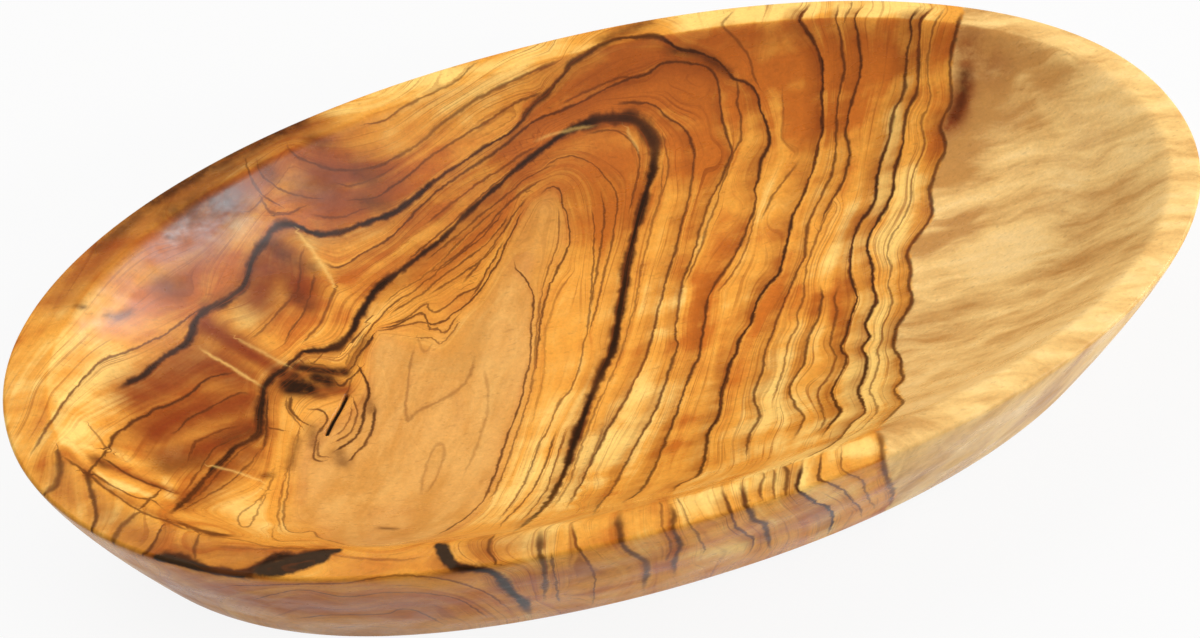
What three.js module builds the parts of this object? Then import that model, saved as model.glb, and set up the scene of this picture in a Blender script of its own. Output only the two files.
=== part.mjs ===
// A hand-carved oval serving bowl, cut in one piece from a block of olive wood.
// Millimetres, +Z up. The origin is on the table, under the middle of the bowl, and X runs along its length.

import * as THREE from "three";

// Overall size
const LENGTH = 250;
const WIDTH = 130;
const HEIGHT = 39;

// Plan outline: a power of 2 is a plain ellipse, and a larger one is fuller between the ends and the sides.
const OUTLINE_POWER = 2.1;
// How far the hand-cut outline swells at the front left, halfway between the left end and the front side
const SHOULDER_SWELL = 1.2;

// Rim: the flat band round the mouth, left broader at the left end
const RIM_AT_SIDES = 6.2;
const RIM_AT_LEFT = 8.6;
const RIM_AT_RIGHT = 7;
const RIM_OUTER_ROUND = 0.8;
const RIM_INNER_ROUND = 1.2;

// Hollow: its height rises with a power of the distance from the middle, for a flat floor and a steep wall.
const FLOOR_THICKNESS = 10;
const HOLLOW_POWER = 3;

// Outer wall: how far the foot lies inside the rim, and the power that makes the wall belly out between them
const FOOT_INSET_AT_SIDES = 10.2;
const FOOT_INSET_AT_LEFT = 14.7;
const FOOT_INSET_AT_RIGHT = 11.1;
const FOOT_ROUND = 2.5;
const WALL_BELLY = 1.2;

// Facets round the bowl, and along each stretch of its section
const FACETS_ROUND_BOWL = 96;
const FACETS_EDGE_ROUND = 3;
const FACETS_WALL = 8;
const FACETS_HOLLOW = 14;

// A ring is one level line round the bowl: how far it reaches from the origin to the left, to the right
// and to each side, and its height.
const outlineReach = { left: LENGTH / 2, right: LENGTH / 2, side: WIDTH / 2 };
const rimWidth = { left: RIM_AT_LEFT, right: RIM_AT_RIGHT, side: RIM_AT_SIDES };
const footInset = { left: FOOT_INSET_AT_LEFT, right: FOOT_INSET_AT_RIGHT, side: FOOT_INSET_AT_SIDES };

// The ring that lies inside the plan outline by share times the given inset, plus the same extra all round
function insetRing(inset, share, extra, height) {
  return {
    left: outlineReach.left - inset.left * share - extra,
    right: outlineReach.right - inset.right * share - extra,
    side: outlineReach.side - inset.side * share - extra,
    height,
  };
}

const mouth = insetRing(rimWidth, 1, 0, HEIGHT);

// The level line of the hollow at a share of the way from its middle to the mouth
function hollowRing(share) {
  return {
    left: mouth.left * share,
    right: mouth.right * share,
    side: mouth.side * share,
    height: FLOOR_THICKNESS + (HEIGHT - FLOOR_THICKNESS) * share ** HOLLOW_POWER,
  };
}

// How much of the foot's inset the outer wall has at a height: all of it on the table, none below the rim's edge
function footShare(height) {
  return (1 - height / (HEIGHT - RIM_OUTER_ROUND)) ** WALL_BELLY;
}

// The rounded lower edge, from the flat underside up to the wall
function footRings() {
  const rings = [];
  for (let step = 0; step < FACETS_EDGE_ROUND; step += 1) {
    const angle = (Math.PI / 2) * (1 - step / FACETS_EDGE_ROUND);
    const height = FOOT_ROUND * (1 - Math.sin(angle));
    const drawnIn = FOOT_ROUND * (1 - Math.cos(angle));
    rings.push(insetRing(footInset, footShare(height), drawnIn, height));
  }
  return rings;
}

// The outer wall, from above the rounded foot to below the rim's rounded edge
function wallRings() {
  const rings = [];
  const rise = HEIGHT - RIM_OUTER_ROUND - FOOT_ROUND;
  for (let step = 0; step < FACETS_WALL; step += 1) {
    const height = FOOT_ROUND + (rise * step) / FACETS_WALL;
    rings.push(insetRing(footInset, footShare(height), 0, height));
  }
  return rings;
}

// The rim's outer edge, a quarter round from the wall to the flat top
function rimEdgeRings() {
  const rings = [];
  for (let step = 0; step <= FACETS_EDGE_ROUND; step += 1) {
    const angle = ((Math.PI / 2) * step) / FACETS_EDGE_ROUND;
    const drawnIn = RIM_OUTER_ROUND * (1 - Math.cos(angle));
    const height = HEIGHT - RIM_OUTER_ROUND * (1 - Math.sin(angle));
    rings.push(insetRing(rimWidth, 0, drawnIn, height));
  }
  return rings;
}

// The mouth's edge, a soft bend from the flat rim over the edge and down onto the wall of the hollow
const roundedShare = 1 - RIM_INNER_ROUND / mouth.side;

function mouthEdgeRings() {
  const rings = [];
  const onRim = insetRing(rimWidth, 1, -RIM_INNER_ROUND, HEIGHT);
  const inHollow = hollowRing(roundedShare);
  for (let step = 0; step <= FACETS_EDGE_ROUND; step += 1) {
    const along = step / FACETS_EDGE_ROUND;
    const bend = (start, corner, end) =>
      start * (1 - along) ** 2 + corner * 2 * along * (1 - along) + end * along ** 2;
    rings.push({
      left: bend(onRim.left, mouth.left, inHollow.left),
      right: bend(onRim.right, mouth.right, inHollow.right),
      side: bend(onRim.side, mouth.side, inHollow.side),
      height: bend(onRim.height, mouth.height, inHollow.height),
    });
  }
  return rings;
}

// The hollow, from below the mouth's edge to the last ring before its middle
function hollowRings() {
  const rings = [];
  for (let step = 1; step < FACETS_HOLLOW; step += 1) {
    rings.push(hollowRing(roundedShare * (1 - step / FACETS_HOLLOW)));
  }
  return rings;
}

// A point on a ring at an angle counted from the right end towards the back
function ringPoint(ring, angle) {
  const cosine = Math.cos(angle);
  const sine = Math.sin(angle);
  const halfLength = (ring.left + ring.right) / 2;
  const middle = (ring.right - ring.left) / 2;
  const rounded = (value) => Math.sign(value) * Math.abs(value) ** (2 / OUTLINE_POWER);
  const outward = new THREE.Vector2(cosine / halfLength, sine / ring.side).normalize();
  const frontLeft = cosine < 0 && sine < 0 ? Math.sin(2 * angle) ** 4 : 0;
  const swell = (SHOULDER_SWELL * frontLeft * ring.side) / outlineReach.side;
  return new THREE.Vector3(
    middle + halfLength * rounded(cosine) + swell * outward.x,
    ring.side * rounded(sine) + swell * outward.y,
    ring.height,
  );
}

// A closed skin over rings given in order, from the middle of the underside to the middle of the hollow's floor
function closedSkin(rings, firstMiddle, lastMiddle) {
  const points = [firstMiddle, lastMiddle];
  for (const ring of rings) {
    for (let spot = 0; spot < FACETS_ROUND_BOWL; spot += 1) {
      points.push(ringPoint(ring, (2 * Math.PI * spot) / FACETS_ROUND_BOWL));
    }
  }
  const index = (ring, spot) => 2 + ring * FACETS_ROUND_BOWL + (spot % FACETS_ROUND_BOWL);
  const last = rings.length - 1;
  const faces = [];
  for (let spot = 0; spot < FACETS_ROUND_BOWL; spot += 1) {
    faces.push(0, index(0, spot + 1), index(0, spot));
    for (let ring = 0; ring < last; ring += 1) {
      faces.push(index(ring, spot), index(ring, spot + 1), index(ring + 1, spot + 1));
      faces.push(index(ring, spot), index(ring + 1, spot + 1), index(ring + 1, spot));
    }
    faces.push(index(last, spot), index(last, spot + 1), 1);
  }
  const skin = new THREE.BufferGeometry().setFromPoints(points);
  skin.setIndex(faces);
  skin.computeVertexNormals();
  return skin;
}

// The bowl itself: golden heartwood, oiled and rubbed to a soft gloss
function bowl() {
  const rings = [
    ...footRings(),
    ...wallRings(),
    ...rimEdgeRings(),
    ...mouthEdgeRings(),
    ...hollowRings(),
  ];
  const underside = new THREE.Vector3(0, 0, 0);
  const floor = new THREE.Vector3(0, 0, FLOOR_THICKNESS);
  const oiledWood = new THREE.MeshStandardMaterial({ color: 0xc58a45, roughness: 0.42, metalness: 0 });
  const mesh = new THREE.Mesh(closedSkin(rings, underside, floor), oiledWood);
  mesh.name = "bowl";
  return mesh;
}

const oliveWoodBowl = new THREE.Group();
oliveWoodBowl.add(bowl());

export default oliveWoodBowl;
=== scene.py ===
# A hand-carved oval bowl of olive wood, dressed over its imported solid.
# Metres, +Z up. The bowl stands on the table at the origin, and its length runs along X.

from math import cos, pi, radians, sin

import bmesh
import bpy
import numpy as np
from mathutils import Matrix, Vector
from mathutils.bvhtree import BVHTree
from mathutils.kdtree import KDTree


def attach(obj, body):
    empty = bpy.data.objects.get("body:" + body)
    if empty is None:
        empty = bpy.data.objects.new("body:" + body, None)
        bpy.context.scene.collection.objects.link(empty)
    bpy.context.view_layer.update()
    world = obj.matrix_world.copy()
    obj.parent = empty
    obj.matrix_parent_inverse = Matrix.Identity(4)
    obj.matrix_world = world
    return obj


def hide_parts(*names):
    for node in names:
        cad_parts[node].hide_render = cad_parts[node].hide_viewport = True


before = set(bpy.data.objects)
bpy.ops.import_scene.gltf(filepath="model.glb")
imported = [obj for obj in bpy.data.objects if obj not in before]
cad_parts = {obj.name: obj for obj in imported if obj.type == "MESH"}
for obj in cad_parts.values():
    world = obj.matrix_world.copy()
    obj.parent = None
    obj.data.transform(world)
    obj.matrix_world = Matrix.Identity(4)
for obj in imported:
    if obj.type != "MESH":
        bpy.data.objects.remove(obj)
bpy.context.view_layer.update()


# The view
# The camera stands in front of the bowl, a little to its left, and looks down into the hollow
# as the photograph does. Points read from the photograph are pixels of its own frame.
scene = bpy.context.scene
mm = 0.001
photo_width = 1200
photo_height = 638
focal_pixels = 2024.5
sensor_width = 36.0
view_distance = 420 * mm
view_rise = radians(50.18)
view_turn = radians(-20.55)
view_target = Vector((-6.1, 0.6, 20.0)) * mm

towards_camera = Vector((sin(view_turn) * cos(view_rise), -cos(view_turn) * cos(view_rise), sin(view_rise)))
camera_right = Vector((cos(view_turn), sin(view_turn), 0.0))
camera_up = towards_camera.cross(camera_right)
camera_place = view_target + towards_camera * view_distance

camera_data = bpy.data.cameras.new("photo_view")
camera_data.sensor_fit = "HORIZONTAL"
camera_data.sensor_width = sensor_width
camera_data.lens = focal_pixels / photo_width * sensor_width
camera = bpy.data.objects.new("photo_view", camera_data)
camera.location = camera_place
camera.rotation_euler = towards_camera.to_track_quat("Z", "Y").to_euler()
scene.collection.objects.link(camera)
scene.camera = camera


def sight_line(pixel):
    """The direction from the camera through a pixel of the photograph."""
    across = (pixel[0] - photo_width / 2) / focal_pixels
    down = (pixel[1] - photo_height / 2) / focal_pixels
    return (camera_right * across - camera_up * down - towards_camera).normalized()


# The bowl
# One block of olive wood, sawn to an oval, hollowed with a gouge and sanded smooth. Its surface is a set
# of level oval rings, from the middle of the hollow over the rim and down to the middle of the foot.
length = 250 * mm
width = 130 * mm
height = 39 * mm
outline_power = 2.1
shoulder_swell = 1.2 * mm
rim_at_left = 8.6 * mm
rim_at_right = 7.0 * mm
rim_at_sides = 6.2 * mm
rim_outer_round = 0.8 * mm
rim_inner_round = 1.2 * mm
floor_thickness = 10 * mm
hollow_power = 3
foot_inset_at_left = 14.7 * mm
foot_inset_at_right = 11.1 * mm
foot_inset_at_sides = 10.2 * mm
foot_round = 2.5 * mm
wall_belly = 1.2

outline_reach = np.array([length / 2, length / 2, width / 2])
rim_width = np.array([rim_at_left, rim_at_right, rim_at_sides])
foot_inset = np.array([foot_inset_at_left, foot_inset_at_right, foot_inset_at_sides])
mouth_reach = outline_reach - rim_width

spots_round = 432
hollow_steps = 110
edge_steps = 8
rim_steps = 7
wall_steps = 36
foot_steps = 14


def ring_at(reach, level):
    """One ring: how far it reaches to the left, to the right and to each side, and its height."""
    return [*reach, level]


def hollow_ring(share):
    """The hollow's ring at a share of the way from its middle to the mouth."""
    return ring_at(mouth_reach * share, floor_thickness + (height - floor_thickness) * share**hollow_power)


def foot_share(level):
    """How much of the foot's inset the outer wall has at a height."""
    return (1 - level / (height - rim_outer_round)) ** wall_belly


rings = []
rounded_share = 1 - rim_inner_round / mouth_reach[2]
for step in range(hollow_steps):
    rings.append(hollow_ring(rounded_share * step / hollow_steps))
mouth_start = np.array(hollow_ring(rounded_share))
mouth_corner = np.array(ring_at(mouth_reach, height))
mouth_end = np.array(ring_at(mouth_reach + rim_inner_round, height))
for along in np.linspace(0, 1, edge_steps):
    bend = mouth_start * (1 - along) ** 2 + mouth_corner * 2 * along * (1 - along) + mouth_end * along**2
    rings.append(list(bend))
rim_top_reach = outline_reach - rim_outer_round
for along in np.linspace(0, 1, rim_steps)[1:-1]:
    rings.append(ring_at(mouth_end[:3] * (1 - along) + rim_top_reach * along, height))
for angle in np.linspace(pi / 2, 0, edge_steps):
    drawn_in = rim_outer_round * (1 - cos(angle))
    rings.append(ring_at(outline_reach - drawn_in, height - rim_outer_round * (1 - sin(angle))))
for level in np.linspace(height - rim_outer_round, foot_round, wall_steps)[1:-1]:
    rings.append(ring_at(outline_reach - foot_inset * foot_share(level), level))
for angle in np.linspace(0, pi / 2, edge_steps):
    level = foot_round * (1 - sin(angle))
    drawn_in = foot_round * (1 - cos(angle))
    rings.append(ring_at(outline_reach - foot_inset * foot_share(level) - drawn_in, level))
foot_reach = np.array(rings[-1][:3])
for along in np.linspace(1, 0, foot_steps)[1:]:
    rings.append(ring_at(foot_reach * along, 0.0))


class Nodes:
    """Short forms for adding nodes to a tree and joining them."""

    def __init__(self, tree):
        self.tree = tree

    def add(self, kind, inputs, **settings):
        """A new node with its settings, whose inputs are joined to sockets or set to values."""
        node = self.tree.nodes.new(kind)
        for name, value in settings.items():
            setattr(node, name, value)
        for socket, value in inputs.items():
            if isinstance(value, bpy.types.NodeSocket):
                self.tree.links.new(value, node.inputs[socket])
            else:
                node.inputs[socket].default_value = value
        return node

    def math(self, operation, first, second=0.0, third=0.0):
        """The result of one sum."""
        return self.add("ShaderNodeMath", {0: first, 1: second, 2: third}, operation=operation).outputs[0]


def carved_oval_tree(material):
    """Geometry nodes that lay an oval through every ring of the section and close the skin."""
    tree = bpy.data.node_groups.new("carved_oval", "GeometryNodeTree")
    tree.interface.new_socket("Section", in_out="INPUT", socket_type="NodeSocketGeometry")
    tree.interface.new_socket("Spots Round", in_out="INPUT", socket_type="NodeSocketInt")
    tree.interface.new_socket("Outline Power", in_out="INPUT", socket_type="NodeSocketFloat")
    tree.interface.new_socket("Shoulder Swell", in_out="INPUT", socket_type="NodeSocketFloat")
    tree.interface.new_socket("Half Width", in_out="INPUT", socket_type="NodeSocketFloat")
    tree.interface.new_socket("Bowl", in_out="OUTPUT", socket_type="NodeSocketGeometry")
    given = tree.nodes.new("NodeGroupInput").outputs
    nodes = Nodes(tree)
    add = nodes.add
    math = nodes.math

    section_size = add("GeometryNodeAttributeDomainSize", {"Geometry": given["Section"]})
    columns = math("ADD", given["Spots Round"], 1.0)
    rows = section_size.outputs["Point Count"]
    grid = add("GeometryNodeMeshGrid", {"Vertices X": rows, "Vertices Y": columns})
    place = add("GeometryNodeInputIndex", {}).outputs[0]
    ring_number = math("FLOOR", math("DIVIDE", math("ADD", place, 0.5), columns))
    spot = math("SUBTRACT", place, math("MULTIPLY", ring_number, columns))
    angle = math("MULTIPLY", math("DIVIDE", spot, given["Spots Round"]), 2 * pi)

    def ring_value(name):
        reading = add("GeometryNodeInputNamedAttribute", {"Name": name}, data_type="FLOAT").outputs[0]
        look_up = {"Geometry": given["Section"], "Value": reading, "Index": ring_number}
        return add("GeometryNodeSampleIndex", look_up, data_type="FLOAT", domain="POINT").outputs[0]

    left = ring_value("to_left")
    right = ring_value("to_right")
    side = ring_value("to_side")
    half_length = math("MULTIPLY", math("ADD", left, right), 0.5)
    middle = math("MULTIPLY", math("SUBTRACT", right, left), 0.5)
    cosine = math("COSINE", angle)
    sine = math("SINE", angle)
    rounding = math("DIVIDE", 2.0, given["Outline Power"])

    def rounded(value):
        return math("MULTIPLY", math("SIGN", value), math("POWER", math("ABSOLUTE", value), rounding))

    front_left = math("MULTIPLY", math("LESS_THAN", cosine, 0.0), math("LESS_THAN", sine, 0.0))
    swell = math("POWER", math("SINE", math("MULTIPLY", angle, 2.0)), 4.0)
    swell = math("MULTIPLY", math("MULTIPLY", swell, front_left), given["Shoulder Swell"])
    swell = math("MULTIPLY", swell, math("DIVIDE", side, given["Half Width"]))
    outward_x = math("MULTIPLY", cosine, side)
    outward_y = math("MULTIPLY", sine, half_length)
    outward = math("SQRT", math("ADD", math("POWER", outward_x, 2.0), math("POWER", outward_y, 2.0)))
    swell = math("DIVIDE", swell, math("MAXIMUM", outward, 1e-9))
    oval_x = math("MULTIPLY_ADD", half_length, rounded(cosine), middle)
    oval_y = math("MULTIPLY", side, rounded(sine))
    x = math("MULTIPLY_ADD", swell, outward_x, oval_x)
    y = math("MULTIPLY_ADD", swell, outward_y, oval_y)
    point = add("ShaderNodeCombineXYZ", {"X": x, "Y": y, "Z": ring_value("level")}).outputs[0]

    laid = add("GeometryNodeSetPosition", {"Geometry": grid.outputs["Mesh"], "Position": point}).outputs[0]
    closed = add("GeometryNodeMergeByDistance", {"Geometry": laid, "Distance": 1e-6}).outputs[0]
    smooth = add("GeometryNodeSetShadeSmooth", {"Geometry": closed}).outputs[0]
    real = add("GeometryNodeRealizeInstances", {"Geometry": smooth}).outputs[0]
    dressed = add("GeometryNodeSetMaterial", {"Geometry": real, "Material": material}).outputs[0]
    add("NodeGroupOutput", {"Bowl": dressed})
    return tree


olive_wood = bpy.data.materials.new("oiled_olive_wood")
section_mesh = bpy.data.meshes.new("bowl_section")
section_mesh.vertices.add(len(rings))
ring_table = np.array(rings, dtype=np.float32)
for column, name in enumerate(("to_left", "to_right", "to_side", "level")):
    values = section_mesh.attributes.new(name, "FLOAT", "POINT")
    values.data.foreach_set("value", np.ascontiguousarray(ring_table[:, column]))
section = bpy.data.objects.new("bowl_section", section_mesh)
scene.collection.objects.link(section)
carving = section.modifiers.new("carving", "NODES")
carving.node_group = carved_oval_tree(olive_wood)
socket_of = {item.name: item.identifier for item in carving.node_group.interface.items_tree}
carving[socket_of["Spots Round"]] = spots_round
carving[socket_of["Outline Power"]] = outline_power
carving[socket_of["Shoulder Swell"]] = shoulder_swell
carving[socket_of["Half Width"]] = width / 2
depsgraph = bpy.context.evaluated_depsgraph_get()
bowl_mesh = bpy.data.meshes.new_from_object(section.evaluated_get(depsgraph))
bowl_mesh.name = "olive_wood_bowl"
bpy.data.objects.remove(section)
bowl_mesh.materials.clear()
bowl_mesh.materials.append(olive_wood)
bowl_mesh.polygons.foreach_set("material_index", np.zeros(len(bowl_mesh.polygons), dtype=np.int32))
bowl = bpy.data.objects.new("olive_wood_bowl", bowl_mesh)
scene.collection.objects.link(bowl)

# How a growth line looks: its half width in millimetres, its darkness, and the strength of the brown
# shade that deepens towards it on the heart's side
great = (1.7, 1.0, 0.8)
heavy = (1.0, 1.0, 0.75)
bold = (0.65, 0.95, 0.75)
strong = (0.38, 0.85, 0.85)
medium = (0.32, 0.75, 0.8)
sap_edge = (0.42, 0.72, 0.85)
sap_top = (0.42, 0.72, 0.3)
fine = (0.26, 0.68, 0.4)
thin = (0.23, 0.68, 0.2)
bar = (0.62, 0.72, 0.5)
swirl = (0.34, 0.8, 0.25)
loose = (0.26, 0.62, 0.25)
wisp = (0.32, 0.17, 0.2)
# A glint is a painted highlight along a scratch.
glint = (0.42, 0.5, 0.0)
unseen = (0.2, 0.0, 0.0)

# Growth lines, read one by one: each has a number counted outwards from the pale heart, a look, a strength
# from none to full, and the pixels it runs through. Unseen lines only guide the years between the others.
# Wisps, swirls and loose strands guide nothing, and their numbers only sort them.
growth_lines = (
    # The pale heart in the middle of the floor
    (4, unseen, 0, ((440, 395), (445, 430))),
    (7.5, unseen, 0, ((488, 330), (485, 400), (470, 455), (430, 500))),
    (7.5, unseen, 0, ((395, 380), (400, 450))),
    (8.5, unseen, 0, ((378, 352), (381, 385), (385, 425), (374, 462), (348, 490), (322, 502))),
    (5, wisp, 1, ((415, 346), (410, 365), (407, 390), (405, 408), (408, 421), (420, 410), (445, 398),
     (461, 387), (470, 374), (475, 356))),
    (5.4, wisp, 0.8, ((421, 498), (423, 478), (429, 458), (434, 448), (440, 443), (444, 450), (441, 465),
     (433, 483), (424, 496))),
    (6.2, wisp, 0.7, ((484, 368), (488, 390), (487, 412), (478, 444), (463, 478))),
    (6.8, wisp, 0.7, ((418, 340), (424, 352), (430, 348))),
    (10.5, thin, 0.95, ((514, 260), (516, 268), (522, 274), (528, 283), (532, 293), (534, 302),
     (531, 330), (530, 360), (526, 375), (522, 395), (515, 418), (508, 435), (498, 465), (493, 480),
     (485, 497), (477, 507), (465, 518), (450, 528), (437, 535))),
    (10.5, thin, 0.4, ((420, 540), (400, 544), (380, 546), (355, 546))),
    (10.5, unseen, 0, ((505, 270), (497, 285), (485, 303), (470, 318), (457, 338), (440, 354), (418, 347),
     (390, 341))),
    (11.3, unseen, 0, ((541, 203), (532, 228), (523, 248))),
    (11.5, thin, 0.6, ((420, 338), (430, 337), (435, 340), (441, 344), (450, 335), (457, 325))),
    (12, thin, 0.6, ((558, 205), (559, 225), (557, 245), (551, 262), (545, 280), (541, 300), (538, 320),
     (536, 340), (535, 360), (532, 380), (528, 400), (515, 440), (508, 460), (497, 488), (488, 500))),
    (12.5, thin, 0.8, ((375, 331), (390, 330), (400, 326), (425, 322), (430, 330), (438, 328), (443, 333),
     (448, 330), (453, 322), (462, 312))),
    (13, thin, 1, ((378, 328), (392, 327), (405, 320), (420, 313), (425, 315), (428, 322), (433, 325),
     (440, 322), (447, 320), (452, 314), (460, 310), (470, 302), (480, 290), (490, 275), (500, 258),
     (508, 240), (515, 225), (525, 208))),
    (13, thin, 0.9, ((540, 195), (545, 190), (552, 186), (558, 188), (561, 195), (562, 205), (567, 215),
     (570, 240), (565, 255), (557, 270), (550, 285), (546, 300), (541, 318), (537, 355), (534, 375))),
    (13.5, thin, 0.9, ((385, 325), (395, 323), (405, 318), (415, 312), (420, 307), (427, 303), (428, 307),
     (433, 312), (440, 310), (448, 305), (455, 298), (465, 292), (475, 288), (482, 278))),
    (14.1, thin, 0.9, ((505, 240), (492, 262), (482, 280), (470, 300))),
    (14.1, thin, 0.3, ((575, 270), (560, 290), (552, 310), (546, 330), (545, 360), (543, 380), (538, 400),
     (530, 430))),
    (15, thin, 0.85, ((500, 240), (485, 257), (465, 272), (440, 288), (428, 296))),
    (15, unseen, 0, ((584, 250), (576, 300), (567, 350), (556, 390), (545, 415))),
    (16, thin, 0.85, ((510, 213), (490, 240), (470, 257), (437, 280), (425, 292), (412, 300),
     (390, 315))),
    (16, thin, 0.7, ((592, 205), (594, 230), (594, 250), (592, 280), (591, 300), (589, 320), (585, 340),
     (581, 360), (577, 375), (570, 390), (560, 402), (553, 418), (545, 435), (537, 450), (530, 470),
     (522, 487), (512, 503), (498, 520))),
    (17, thin, 0.85, ((505, 210), (490, 228), (478, 240), (455, 258), (427, 280), (412, 292), (398, 300),
     (385, 312), (368, 332), (360, 345), (352, 358), (345, 370), (335, 372), (325, 366), (312, 364))),
    (17.5, thin, 0.7, ((540, 172), (555, 160), (572, 156), (585, 160), (597, 167), (605, 177), (612, 186),
     (617, 200), (615, 225), (610, 250), (605, 270), (600, 290), (597, 305), (593, 320), (588, 335))),
    (17.5, thin, 0.8, ((557, 430), (550, 450), (545, 465), (535, 485), (525, 500), (510, 515),
     (498, 528))),
    (18.5, thin, 0.7, ((500, 205), (478, 225), (462, 240), (440, 262), (418, 280), (400, 290),
     (384, 304))),
    (18.6, unseen, 0, ((560, 147), (590, 141), (615, 143), (632, 155), (636, 175), (632, 205), (626, 240),
     (618, 265), (611, 290), (604, 320), (598, 345))),
    (19, thin, 0.7, ((566, 430), (558, 455), (552, 475), (545, 492), (533, 508), (520, 522))),
    # The great arch, almost black, from the front over the top to the knot and on to the left
    (20, great, 1, ((580, 125), (600, 119), (625, 118), (640, 123), (650, 134), (655, 148), (654, 162))),
    (20, heavy, 1, ((654, 162), (652, 173), (644, 200), (636, 228), (628, 262), (625, 280), (618, 320),
     (615, 340), (610, 355), (603, 370), (596, 385), (585, 412), (578, 432), (567, 465))),
    (20, bold, 1, ((567, 465), (562, 478), (556, 490), (548, 502), (538, 513), (525, 524), (515, 531))),
    (20, bold, 1, ((580, 125), (565, 133), (550, 143), (520, 166), (490, 193), (460, 220), (440, 241),
     (425, 252), (398, 273))),
    (20, heavy, 1, ((398, 273), (388, 280), (378, 288), (372, 296), (358, 318), (353, 330), (347, 338),
     (340, 346), (325, 350), (303, 351))),
    (20, strong, 1, ((303, 351), (296, 358), (289, 364), (283, 370))),
    (20, heavy, 1, ((283, 370), (276, 374), (270, 379), (265, 387), (262, 400), (260, 418), (259, 432))),
    (20, bold, 1, ((259, 432), (250, 440), (240, 445), (232, 450), (226, 458), (208, 475), (192, 494),
     (183, 503), (174, 510), (168, 514))),
    (20, heavy, 0.7, ((172, 520), (190, 527), (210, 533), (235, 536))),
    (20, heavy, 1, ((155, 557), (180, 557), (200, 567), (225, 573), (245, 573), (260, 566), (275, 558),
     (300, 557), (320, 552), (338, 549))),
    (20, heavy, 1, ((446, 545), (449, 563), (470, 569), (485, 570), (497, 575), (505, 585), (515, 595),
     (525, 605), (530, 615))),
    (18.5, thin, 0.3, ((215, 546), (260, 549), (300, 548), (350, 557), (400, 560), (425, 556))),
    # The lower left of the hollow, round the knot
    (18.5, thin, 0.7, ((262, 445), (255, 458), (245, 468), (235, 478), (222, 487), (205, 497), (190, 506),
     (178, 512))),
    (16, thin, 0.5, ((275, 465), (272, 480), (265, 495), (260, 507), (250, 525), (243, 527), (238, 522),
     (240, 515), (248, 508), (258, 500), (268, 490))),
    (13.5, thin, 0.5, ((290, 455), (287, 470), (283, 485), (280, 500), (278, 515), (280, 528),
     (283, 533))),
    (12.5, thin, 0.6, ((296, 440), (292, 455), (289, 475), (288, 490), (284, 505), (283, 520), (287, 530),
     (300, 533), (312, 531), (320, 538), (335, 542), (350, 546))),
    (15, thin, 0.5, ((275, 525), (272, 535), (278, 541), (290, 541), (320, 541))),
    (17, thin, 0.4, ((200, 535), (240, 540), (280, 548), (340, 549))),
    # The side of the outer wall under the front left rim
    (18.5, thin, 0.6, ((230, 586), (300, 584), (345, 583), (375, 578), (400, 575), (430, 577), (460, 583),
     (490, 595), (510, 610))),
    (16, thin, 0.6, ((250, 600), (300, 590), (345, 597), (380, 593), (420, 593), (450, 597), (470, 605),
     (488, 618))),
    (14.1, thin, 0.6, ((300, 618), (330, 615), (385, 614), (400, 609), (420, 612), (445, 625))),
    (12, thin, 0.4, ((330, 628), (365, 626), (395, 628))),
    # Between the great arch and the outer arch
    (21.3, fine, 0.5, ((663, 160), (662, 180), (660, 200), (655, 215), (648, 240), (641, 270), (636, 300),
     (628, 330), (622, 350), (612, 375), (600, 400), (590, 425), (577, 460), (570, 480), (562, 495),
     (553, 508))),
    (22.5, fine, 0.5, ((605, 425), (595, 450), (585, 475), (575, 495), (565, 510))),
    (23.6, medium, 0.8, ((615, 104), (650, 103), (665, 115), (685, 130), (694, 150), (694, 165),
     (690, 195), (686, 210), (681, 225), (677, 245), (672, 262), (666, 280), (661, 300), (657, 315),
     (654, 330), (645, 360), (638, 375), (630, 390), (620, 410), (607, 430), (600, 445), (590, 465),
     (580, 485), (568, 505))),
    (23.6, medium, 0.6, ((540, 145), (520, 155), (500, 170), (480, 182), (450, 205), (425, 225))),
    (25, unseen, 0, ((705, 170), (690, 220), (681, 262), (670, 300), (664, 345), (650, 385), (630, 425),
     (600, 475))),
    (25, unseen, 0, ((640, 92), (680, 90), (705, 110), (712, 140))),
    (26, medium, 0.8, ((325, 263), (335, 268), (345, 265), (355, 258), (365, 252), (378, 245), (390, 238),
     (400, 229), (415, 212), (430, 198), (445, 185), (460, 175), (480, 162), (495, 152), (510, 140),
     (525, 128), (540, 118), (555, 113), (575, 105), (590, 97), (615, 85), (630, 78), (645, 75),
     (655, 68), (663, 63), (675, 62), (690, 63), (705, 66), (715, 75), (719, 90), (720, 105), (725, 130),
     (732, 150), (730, 160), (720, 182), (707, 208), (702, 225), (691, 260), (685, 275), (681, 290),
     (679, 305), (675, 333), (678, 345), (673, 360), (663, 390), (658, 405), (650, 420), (640, 437),
     (632, 452), (624, 468), (612, 490), (600, 504), (592, 516))),
    (27.2, fine, 0.7, ((735, 75), (738, 90), (738, 105), (741, 122), (741, 138), (735, 150), (728, 170),
     (722, 185), (716, 205), (709, 222), (702, 243), (693, 266), (685, 284))),
    (28, unseen, 0, ((690, 320), (688, 345), (678, 375), (668, 405), (655, 435), (640, 465), (622, 490))),
    (28, unseen, 0, ((470, 160), (510, 133), (545, 108), (580, 85), (620, 60), (655, 52))),
    (26, medium, 0.9, ((235, 372), (222, 375), (210, 378), (200, 384), (192, 392), (183, 398), (175, 402),
     (165, 406), (155, 409), (147, 415), (135, 420), (125, 428), (115, 435), (110, 443), (106, 452))),
    (24, fine, 0.8, ((250, 395), (240, 393), (228, 398), (215, 405), (203, 412), (190, 418), (180, 428),
     (170, 434))),
    (22.5, fine, 0.8, ((242, 425), (230, 428), (218, 432), (205, 438), (195, 442), (192, 450), (188, 460),
     (182, 467))),
    (27.2, fine, 0.6, ((305, 245), (300, 260), (300, 275), (297, 290), (290, 300), (280, 310), (270, 322),
     (258, 333), (248, 341))),
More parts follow.
